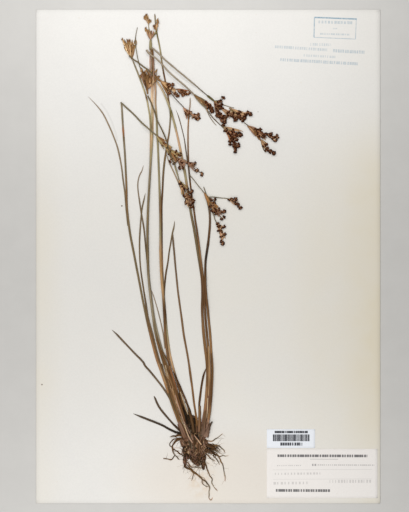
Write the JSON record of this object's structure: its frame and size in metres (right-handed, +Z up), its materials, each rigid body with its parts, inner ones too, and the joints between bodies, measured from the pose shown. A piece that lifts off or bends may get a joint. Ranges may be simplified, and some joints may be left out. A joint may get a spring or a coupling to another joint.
{
  "type": "herbarium sheet with a pressed narrow-panicled rush",
  "caption": "Flat mounting sheet that carries a dried, pressed tuft of narrow-panicled rush with roots, folded stems and brown panicles, and bare paper slips in one corner.",
  "frame": {"origin": "middle of the sheet's underside", "axes": "+Z up out of the sheet, +Y to its top edge, +X to its right edge"},
  "size_m": [0.2922, 0.419, 0.0069],
  "materials": {
    "sheet_paper": "matt off-white rag paper",
    "label_paper": "smooth, faintly pink paper",
    "slip_paper": "smooth cool white paper",
    "root_crown": "rough, fibrous, dry",
    "stem": "finely striped, dry, olive brown to brown",
    "tan_stem": "finely striped, dry, tan",
    "leaf": "dry, grey brown",
    "dark_leaf": "dry, dark brown",
    "pale_leaf": "dry, bleached",
    "sheath": "dry, papery, purple brown",
    "straw_sheath": "dry, papery, straw coloured",
    "panicle": "dry capsules, dark red brown",
    "pale_panicle": "dry capsules, orange brown"
  },
  "bodies": {
    "root": {"mounting_sheet": "sheet_paper", "label": "label_paper", "number_slip": "slip_paper", "root_crown": "root_crown", "stem_far_left": "stem", "stem_left": "stem", "stem_middle": "stem", "stem_folded_upper": "stem", "stem_folded_lower": "stem", "stem_tall": "stem", "stem_slender": "stem", "stem_right": "stem", "stem_tan": "tan_stem", "leaf_long_left": "leaf", "leaf_crossing_left": "leaf", "leaf_crossing_right": "leaf", "leaf_inner_fork": "leaf", "leaf_lone_left": "leaf", "leaf_right_of_middle": "leaf", "leaf_by_slender_stem": "leaf", "leaf_thin_inner": "pale_leaf", "leaf_pale_centre": "pale_leaf", "leaf_stub_lower": "dark_leaf", "leaf_stub_upper": "dark_leaf", "leaf_dark_inner": "dark_leaf", "leaf_short_inner": "dark_leaf", "leaf_short_dark": "dark_leaf", "leaf_dark_outer": "dark_leaf", "leaf_dark_right": "dark_leaf", "sheath_left": "sheath", "sheath_right_tall": "sheath", "sheath_brown": "sheath", "sheath_right": "sheath", "sheath_dark": "dark_leaf", "sheath_straw_left": "straw_sheath", "sheath_straw_right": "straw_sheath", "panicle_top": "pale_panicle", "panicle_tall": "pale_panicle", "panicle_left": "pale_panicle", "panicle_brown": "panicle", "panicle_middle": "panicle", "panicle_small": "panicle", "panicle_centre": "panicle", "panicle_low": "panicle", "panicle_right_lower": "panicle", "panicle_right_upper": "panicle", "panicle_far_right": "panicle", "panicle_right": "panicle"}
  },
  "joints": []
}
